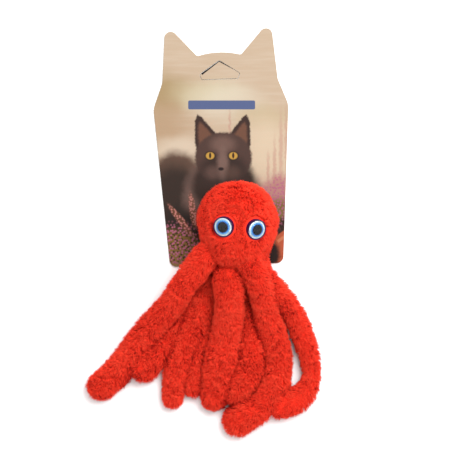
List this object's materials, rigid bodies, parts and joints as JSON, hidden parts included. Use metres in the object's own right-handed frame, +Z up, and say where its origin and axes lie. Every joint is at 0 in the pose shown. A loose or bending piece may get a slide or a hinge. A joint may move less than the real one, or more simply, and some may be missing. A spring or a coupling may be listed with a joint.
{
  "type": "plush octopus cat toy",
  "caption": "Long-pile plush octopus with a round head, two domed blue ring eyes and eight limp stuffed arms, tacked to a cat-head-shaped header card with a hang hole.",
  "frame": {"origin": "on the back face of the header card, straight below the centre of the head", "axes": "+Z up from the surface the toy lies on, out of its face; +Y from the head towards the card's ears, the arms lie towards -Y; +X to the viewer's right"},
  "size_m": [0.1776, 0.3112, 0.0622],
  "materials": {
    "plush_fur": "long-pile faux fur, matt, scarlet red",
    "polyester_filling": "loose white polyester fibre",
    "eye_navy": "moulded, polished navy",
    "eye_white": "printed cream white",
    "eye_blue": "printed light and mid blue rings",
    "eye_black": "printed black",
    "eye_clear": "clear polished acrylic dome",
    "washer_plastic": "natural moulded nylon",
    "printed_card": "printed and gloss-laminated folding board",
    "tack_nylon": "natural nylon filament"
  },
  "bodies": {
    "root": {"head_front_panel": "plush_fur", "head_back_panel": "plush_fur", "head_base_panel": "plush_fur", "head_filling": "polyester_filling", "arm_root_hems": "plush_fur", "header_card": "printed_card", "tack_fasteners": "tack_nylon", "left_eye_rim": "eye_navy", "left_eye_white_ring": "eye_white", "left_eye_iris_ring": "eye_blue", "left_eye_pupil": "eye_black", "left_eye_lens": "eye_clear", "left_eye_lock_washer": "washer_plastic", "right_eye_rim": "eye_navy", "right_eye_white_ring": "eye_white", "right_eye_iris_ring": "eye_blue", "right_eye_pupil": "eye_black", "right_eye_lens": "eye_clear", "right_eye_lock_washer": "washer_plastic"},
    "arm_left_outer_root": {"arm_left_outer_root_sleeve": "plush_fur", "arm_left_outer_root_filling": "polyester_filling"},
    "arm_left_outer_tip": {"arm_left_outer_tip_sleeve": "plush_fur", "arm_left_outer_tip_filling": "polyester_filling"},
    "arm_left_under_root": {"arm_left_under_root_sleeve": "plush_fur", "arm_left_under_root_filling": "polyester_filling"},
    "arm_left_under_tip": {"arm_left_under_tip_sleeve": "plush_fur", "arm_left_under_tip_filling": "polyester_filling"},
    "arm_left_inner_root": {"arm_left_inner_root_sleeve": "plush_fur", "arm_left_inner_root_filling": "polyester_filling"},
    "arm_left_inner_tip": {"arm_left_inner_tip_sleeve": "plush_fur", "arm_left_inner_tip_filling": "polyester_filling"},
    "arm_centre_under_root": {"arm_centre_under_root_sleeve": "plush_fur", "arm_centre_under_root_filling": "polyester_filling"},
    "arm_centre_under_tip": {"arm_centre_under_tip_sleeve": "plush_fur", "arm_centre_under_tip_filling": "polyester_filling"},
    "arm_centre_front_root": {"arm_centre_front_root_sleeve": "plush_fur", "arm_centre_front_root_filling": "polyester_filling"},
    "arm_centre_front_tip": {"arm_centre_front_tip_sleeve": "plush_fur", "arm_centre_front_tip_filling": "polyester_filling"},
    "arm_centre_back_root": {"arm_centre_back_root_sleeve": "plush_fur", "arm_centre_back_root_filling": "polyester_filling"},
    "arm_centre_back_tip": {"arm_centre_back_tip_sleeve": "plush_fur", "arm_centre_back_tip_filling": "polyester_filling"},
    "arm_right_inner_root": {"arm_right_inner_root_sleeve": "plush_fur", "arm_right_inner_root_filling": "polyester_filling"},
    "arm_right_inner_tip": {"arm_right_inner_tip_sleeve": "plush_fur", "arm_right_inner_tip_filling": "polyester_filling"},
    "arm_right_outer_root": {"arm_right_outer_root_sleeve": "plush_fur", "arm_right_outer_root_filling": "polyester_filling"},
    "arm_right_outer_tip": {"arm_right_outer_tip_sleeve": "plush_fur", "arm_right_outer_tip_filling": "polyester_filling"},
    "hang_flap": {"hang_flap": "printed_card"}
  },
  "joints": [
    {"name": "arm_left_outer_lift", "type": "hinge", "parent": "root", "child": "arm_left_outer_root", "pos_m": [-0.025, -0.0245, 0.036], "axis": [-0.8196, 0.5729, 0], "range_deg": [0, 55]},
    {"name": "arm_left_outer_curl", "type": "hinge", "parent": "arm_left_outer_root", "child": "arm_left_outer_tip", "pos_m": [-0.061, -0.076, 0.017], "axis": [-0.7695, 0.6387, 0], "range_deg": [0, 50]},
    {"name": "arm_left_under_lift", "type": "hinge", "parent": "root", "child": "arm_left_under_root", "pos_m": [-0.0235, -0.026, 0.02], "axis": [-0.9077, 0.4196, 0], "range_deg": [0, 4]},
    {"name": "arm_left_under_curl", "type": "hinge", "parent": "arm_left_under_root", "child": "arm_left_under_tip", "pos_m": [-0.048, -0.079, 0.00525], "axis": [-0.8638, 0.5039, 0], "range_deg": [0, 32]},
    {"name": "arm_left_inner_lift", "type": "hinge", "parent": "root", "child": "arm_left_inner_root", "pos_m": [-0.0085, -0.03, 0.013], "axis": [-0.8964, 0.4432, 0], "range_deg": [0, 6]},
    {"name": "arm_left_inner_curl", "type": "hinge", "parent": "arm_left_inner_root", "child": "arm_left_inner_tip", "pos_m": [-0.0352, -0.084, 0.00605], "axis": [-0.9119, 0.4104, 0], "range_deg": [0, 50]},
    {"name": "arm_centre_under_lift", "type": "hinge", "parent": "root", "child": "arm_centre_under_root", "pos_m": [0.007, -0.0305, 0.013], "axis": [-0.886, 0.4637, 0], "range_deg": [0, 4]},
    {"name": "arm_centre_under_curl", "type": "hinge", "parent": "arm_centre_under_root", "child": "arm_centre_under_tip", "pos_m": [-0.021, -0.084, 0.00485], "axis": [-0.9239, 0.3827, 0], "range_deg": [0, 45]},
    {"name": "arm_centre_front_lift", "type": "hinge", "parent": "root", "child": "arm_centre_front_root", "pos_m": [-0.0075, -0.0315, 0.038], "axis": [-1, 0.0095, 0], "range_deg": [0, 50]},
    {"name": "arm_centre_front_curl", "type": "hinge", "parent": "arm_centre_front_root", "child": "arm_centre_front_tip", "pos_m": [-0.008, -0.084, 0.0185], "axis": [-0.9844, 0.1758, 0], "range_deg": [0, 45]},
    {"name": "arm_centre_back_lift", "type": "hinge", "parent": "root", "child": "arm_centre_back_root", "pos_m": [0.0225, -0.026, 0.02], "axis": [-0.9701, 0.2425, 0], "range_deg": [0, 6]},
    {"name": "arm_centre_back_curl", "type": "hinge", "parent": "arm_centre_back_root", "child": "arm_centre_back_tip", "pos_m": [0.0085, -0.082, 0.00605], "axis": [-0.9975, -0.0712, 0], "range_deg": [0, 50]},
    {"name": "arm_right_inner_lift", "type": "hinge", "parent": "root", "child": "arm_right_inner_root", "pos_m": [0.0095, -0.031, 0.044], "axis": [-0.9548, -0.2972, 0], "range_deg": [0, 65]},
    {"name": "arm_right_inner_curl", "type": "hinge", "parent": "arm_right_inner_root", "child": "arm_right_inner_tip", "pos_m": [0.026, -0.084, 0.013], "axis": [-0.9285, -0.3714, 0], "range_deg": [0, 45]},
    {"name": "arm_right_outer_lift", "type": "hinge", "parent": "root", "child": "arm_right_outer_root", "pos_m": [0.025, -0.0245, 0.035], "axis": [-0.9254, -0.3789, 0], "range_deg": [0, 40]},
    {"name": "arm_right_outer_curl", "type": "hinge", "parent": "arm_right_outer_root", "child": "arm_right_outer_tip", "pos_m": [0.051, -0.088, 0.00585], "axis": [-0.9457, -0.3251, 0], "range_deg": [0, 45]},
    {"name": "hang_flap_fold", "type": "hinge", "parent": "root", "child": "hang_flap", "pos_m": [-0.01372, 0.1109, 0.0006], "axis": [0.9993, 0.0366, 0], "range_deg": [0, 95]}
  ]
}
